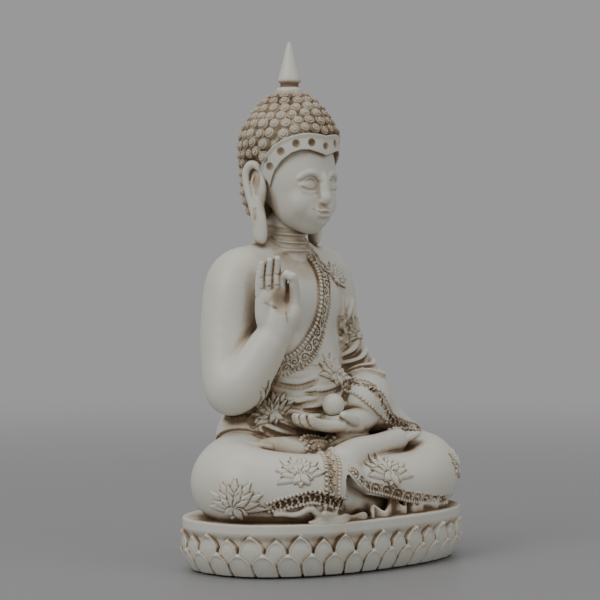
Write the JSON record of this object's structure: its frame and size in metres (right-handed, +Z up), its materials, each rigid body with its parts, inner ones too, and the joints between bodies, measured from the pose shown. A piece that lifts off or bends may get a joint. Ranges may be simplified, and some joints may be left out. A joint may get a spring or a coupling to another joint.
{
  "type": "buddha statue",
  "caption": "Seated buddha statuette with a raised right hand, a ball in its open left hand, curled hair and an oval lotus base.",
  "frame": {"origin": "centre of the bounding box at the underside of the base", "axes": "+Z up along the finial, -Y the way the figure faces, +X to the figure's own left"},
  "size_m": [0.145, 0.089, 0.23],
  "materials": {
    "ivory_resin": "satin ivory paint with a brown antique wash in the recesses",
    "washed_resin": "ivory paint with a heavy brown antique wash between fine relief",
    "pearl_resin": "smooth satin ivory paint",
    "felt": "dark felt"
  },
  "bodies": {
    "root": {"felt_sheet": "felt", "lotus_plinth": "ivory_resin", "lower_petals": "ivory_resin", "upper_petals": "ivory_resin", "right_leg": "ivory_resin", "left_leg": "ivory_resin", "right_foot": "ivory_resin", "left_foot": "ivory_resin", "torso": "ivory_resin", "shoulder_robe": "washed_resin", "robe_border": "washed_resin", "bead_strings": "ivory_resin", "waist_robe": "washed_resin", "right_upper_arm": "ivory_resin", "right_forearm": "ivory_resin", "right_hand": "ivory_resin", "left_sleeve": "washed_resin", "sleeve_border": "washed_resin", "left_hand": "ivory_resin", "pearl": "pearl_resin", "neck": "ivory_resin", "head": "ivory_resin", "right_ear": "ivory_resin", "left_ear": "ivory_resin", "hair_cap": "washed_resin", "snail_curls": "washed_resin", "headband": "ivory_resin", "finial_ring": "ivory_resin", "finial_spire": "ivory_resin", "lap_border": "washed_resin", "hem_folds": "washed_resin", "lotus_motifs": "washed_resin"}
  },
  "joints": []
}
